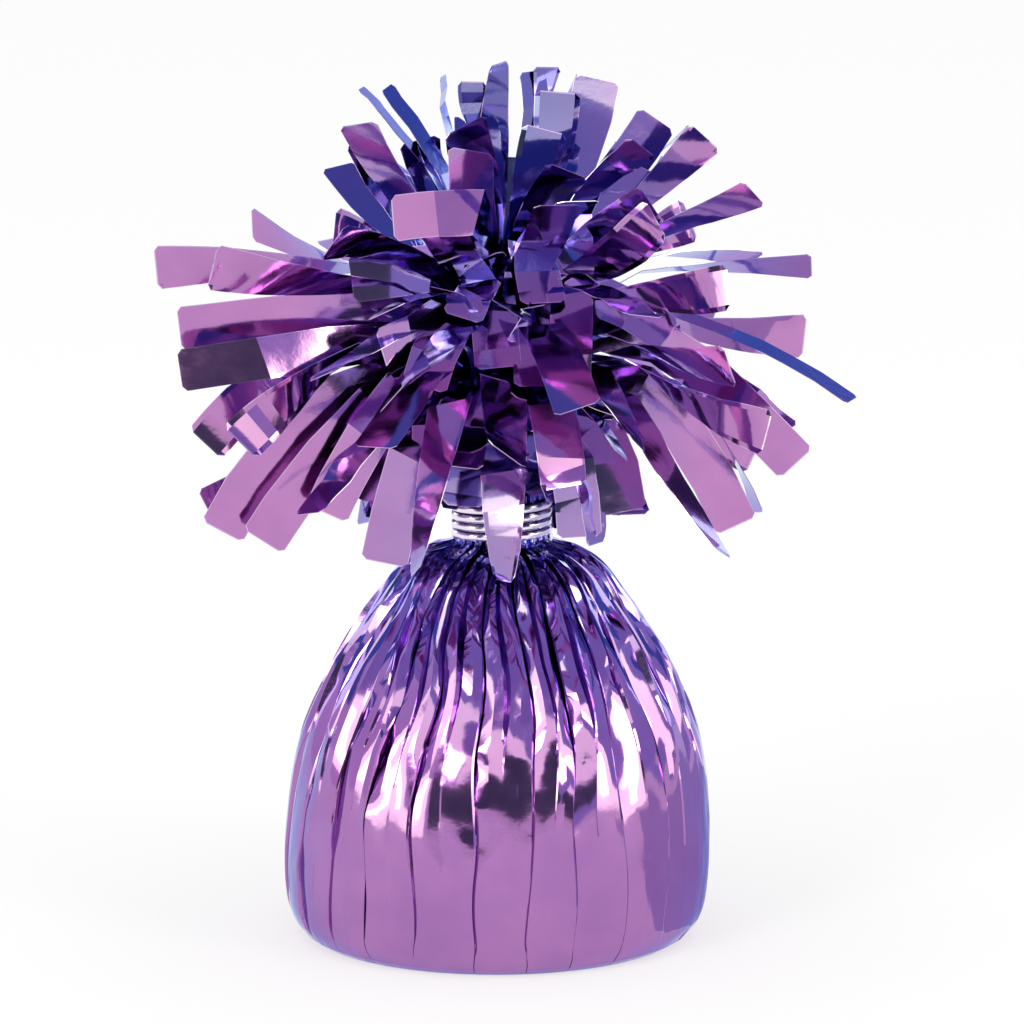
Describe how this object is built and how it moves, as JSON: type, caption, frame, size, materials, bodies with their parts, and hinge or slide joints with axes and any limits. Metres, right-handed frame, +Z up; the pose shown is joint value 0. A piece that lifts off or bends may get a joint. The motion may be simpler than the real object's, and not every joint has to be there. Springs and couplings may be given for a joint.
{
  "type": "balloon weight",
  "caption": "Wrapped balloon weight: a pleated metallised-film body over a weighted cup, tied at the neck, with a spreading fringe of film strips.",
  "frame": {"origin": "centre of the flat base, where the weight stands", "axes": "+Z up through the neck, +X to the right and -Y towards the viewer of the picture"},
  "size_m": [0.1108, 0.1025, 0.1406],
  "materials": {
    "purple_film": "polished",
    "tie": "gloss",
    "cup_plastic": "satin",
    "cast_stone": "matte"
  },
  "bodies": {
    "weight": {"cup": "cup_plastic", "cast_weight": "cast_stone", "cup_lid": "cup_plastic", "foil_wrap": "purple_film", "neck_tie": "tie"},
    "neck": {"neck_gather": "purple_film"},
    "fringe": {"fringe_stem": "purple_film", "film_flare": "purple_film", "fringe_tier_1": "purple_film", "fringe_tier_2": "purple_film", "fringe_tier_3": "purple_film", "fringe_tier_4": "purple_film", "fringe_tier_5": "purple_film", "fringe_tier_6": "purple_film", "fringe_tier_7": "purple_film", "fringe_tier_8": "purple_film", "fringe_tier_9": "purple_film"},
    "loose_1": {"loose_strip_1": "purple_film"},
    "loose_2": {"loose_strip_2": "purple_film"},
    "loose_3": {"loose_strip_3": "purple_film"},
    "loose_4": {"loose_strip_4": "purple_film"},
    "loose_5": {"loose_strip_5": "purple_film"},
    "loose_6": {"loose_strip_6": "purple_film"}
  },
  "joints": [
    {"name": "neck_twist", "type": "hinge", "parent": "weight", "child": "neck", "pos_m": [0, 0, 0.06972], "axis": [0, 0, 1], "range_deg": [-25, 25], "stiffness_Nm_per_rad": 0.02},
    {"name": "neck_lean", "type": "hinge", "parent": "neck", "child": "fringe", "pos_m": [0, 0, 0.06972], "axis": [0, 1, 0], "range_deg": [-8, 8], "stiffness_Nm_per_rad": 0.05},
    {"name": "strip_1_flutter", "type": "hinge", "parent": "fringe", "child": "loose_1", "pos_m": [0.01225, -0.0001, 0.10148], "axis": [-0.0254, -0.9997, 0], "range_deg": [-8, 8], "stiffness_Nm_per_rad": 0.004},
    {"name": "strip_2_flutter", "type": "hinge", "parent": "fringe", "child": "loose_2", "pos_m": [0.00581, 0.00989, 0.10007], "axis": [0.8537, -0.5208, 0], "range_deg": [-8, 8], "stiffness_Nm_per_rad": 0.004},
    {"name": "strip_3_flutter", "type": "hinge", "parent": "fringe", "child": "loose_3", "pos_m": [-0.0064, 0.01107, 0.10213], "axis": [0.8648, 0.5021, 0], "range_deg": [-8, 8], "stiffness_Nm_per_rad": 0.004},
    {"name": "strip_4_flutter", "type": "hinge", "parent": "fringe", "child": "loose_4", "pos_m": [-0.01242, 0.00009, 0.10175], "axis": [0.0222, 0.9998, 0], "range_deg": [-8, 8], "stiffness_Nm_per_rad": 0.004},
    {"name": "strip_5_flutter", "type": "hinge", "parent": "fringe", "child": "loose_5", "pos_m": [-0.00604, -0.01067, 0.10099], "axis": [-0.8785, 0.4778, 0], "range_deg": [-8, 8], "stiffness_Nm_per_rad": 0.004},
    {"name": "strip_6_flutter", "type": "hinge", "parent": "fringe", "child": "loose_6", "pos_m": [0.0064, -0.01107, 0.10214], "axis": [-0.8652, -0.5015, 0], "range_deg": [-8, 8], "stiffness_Nm_per_rad": 0.004}
  ]
}
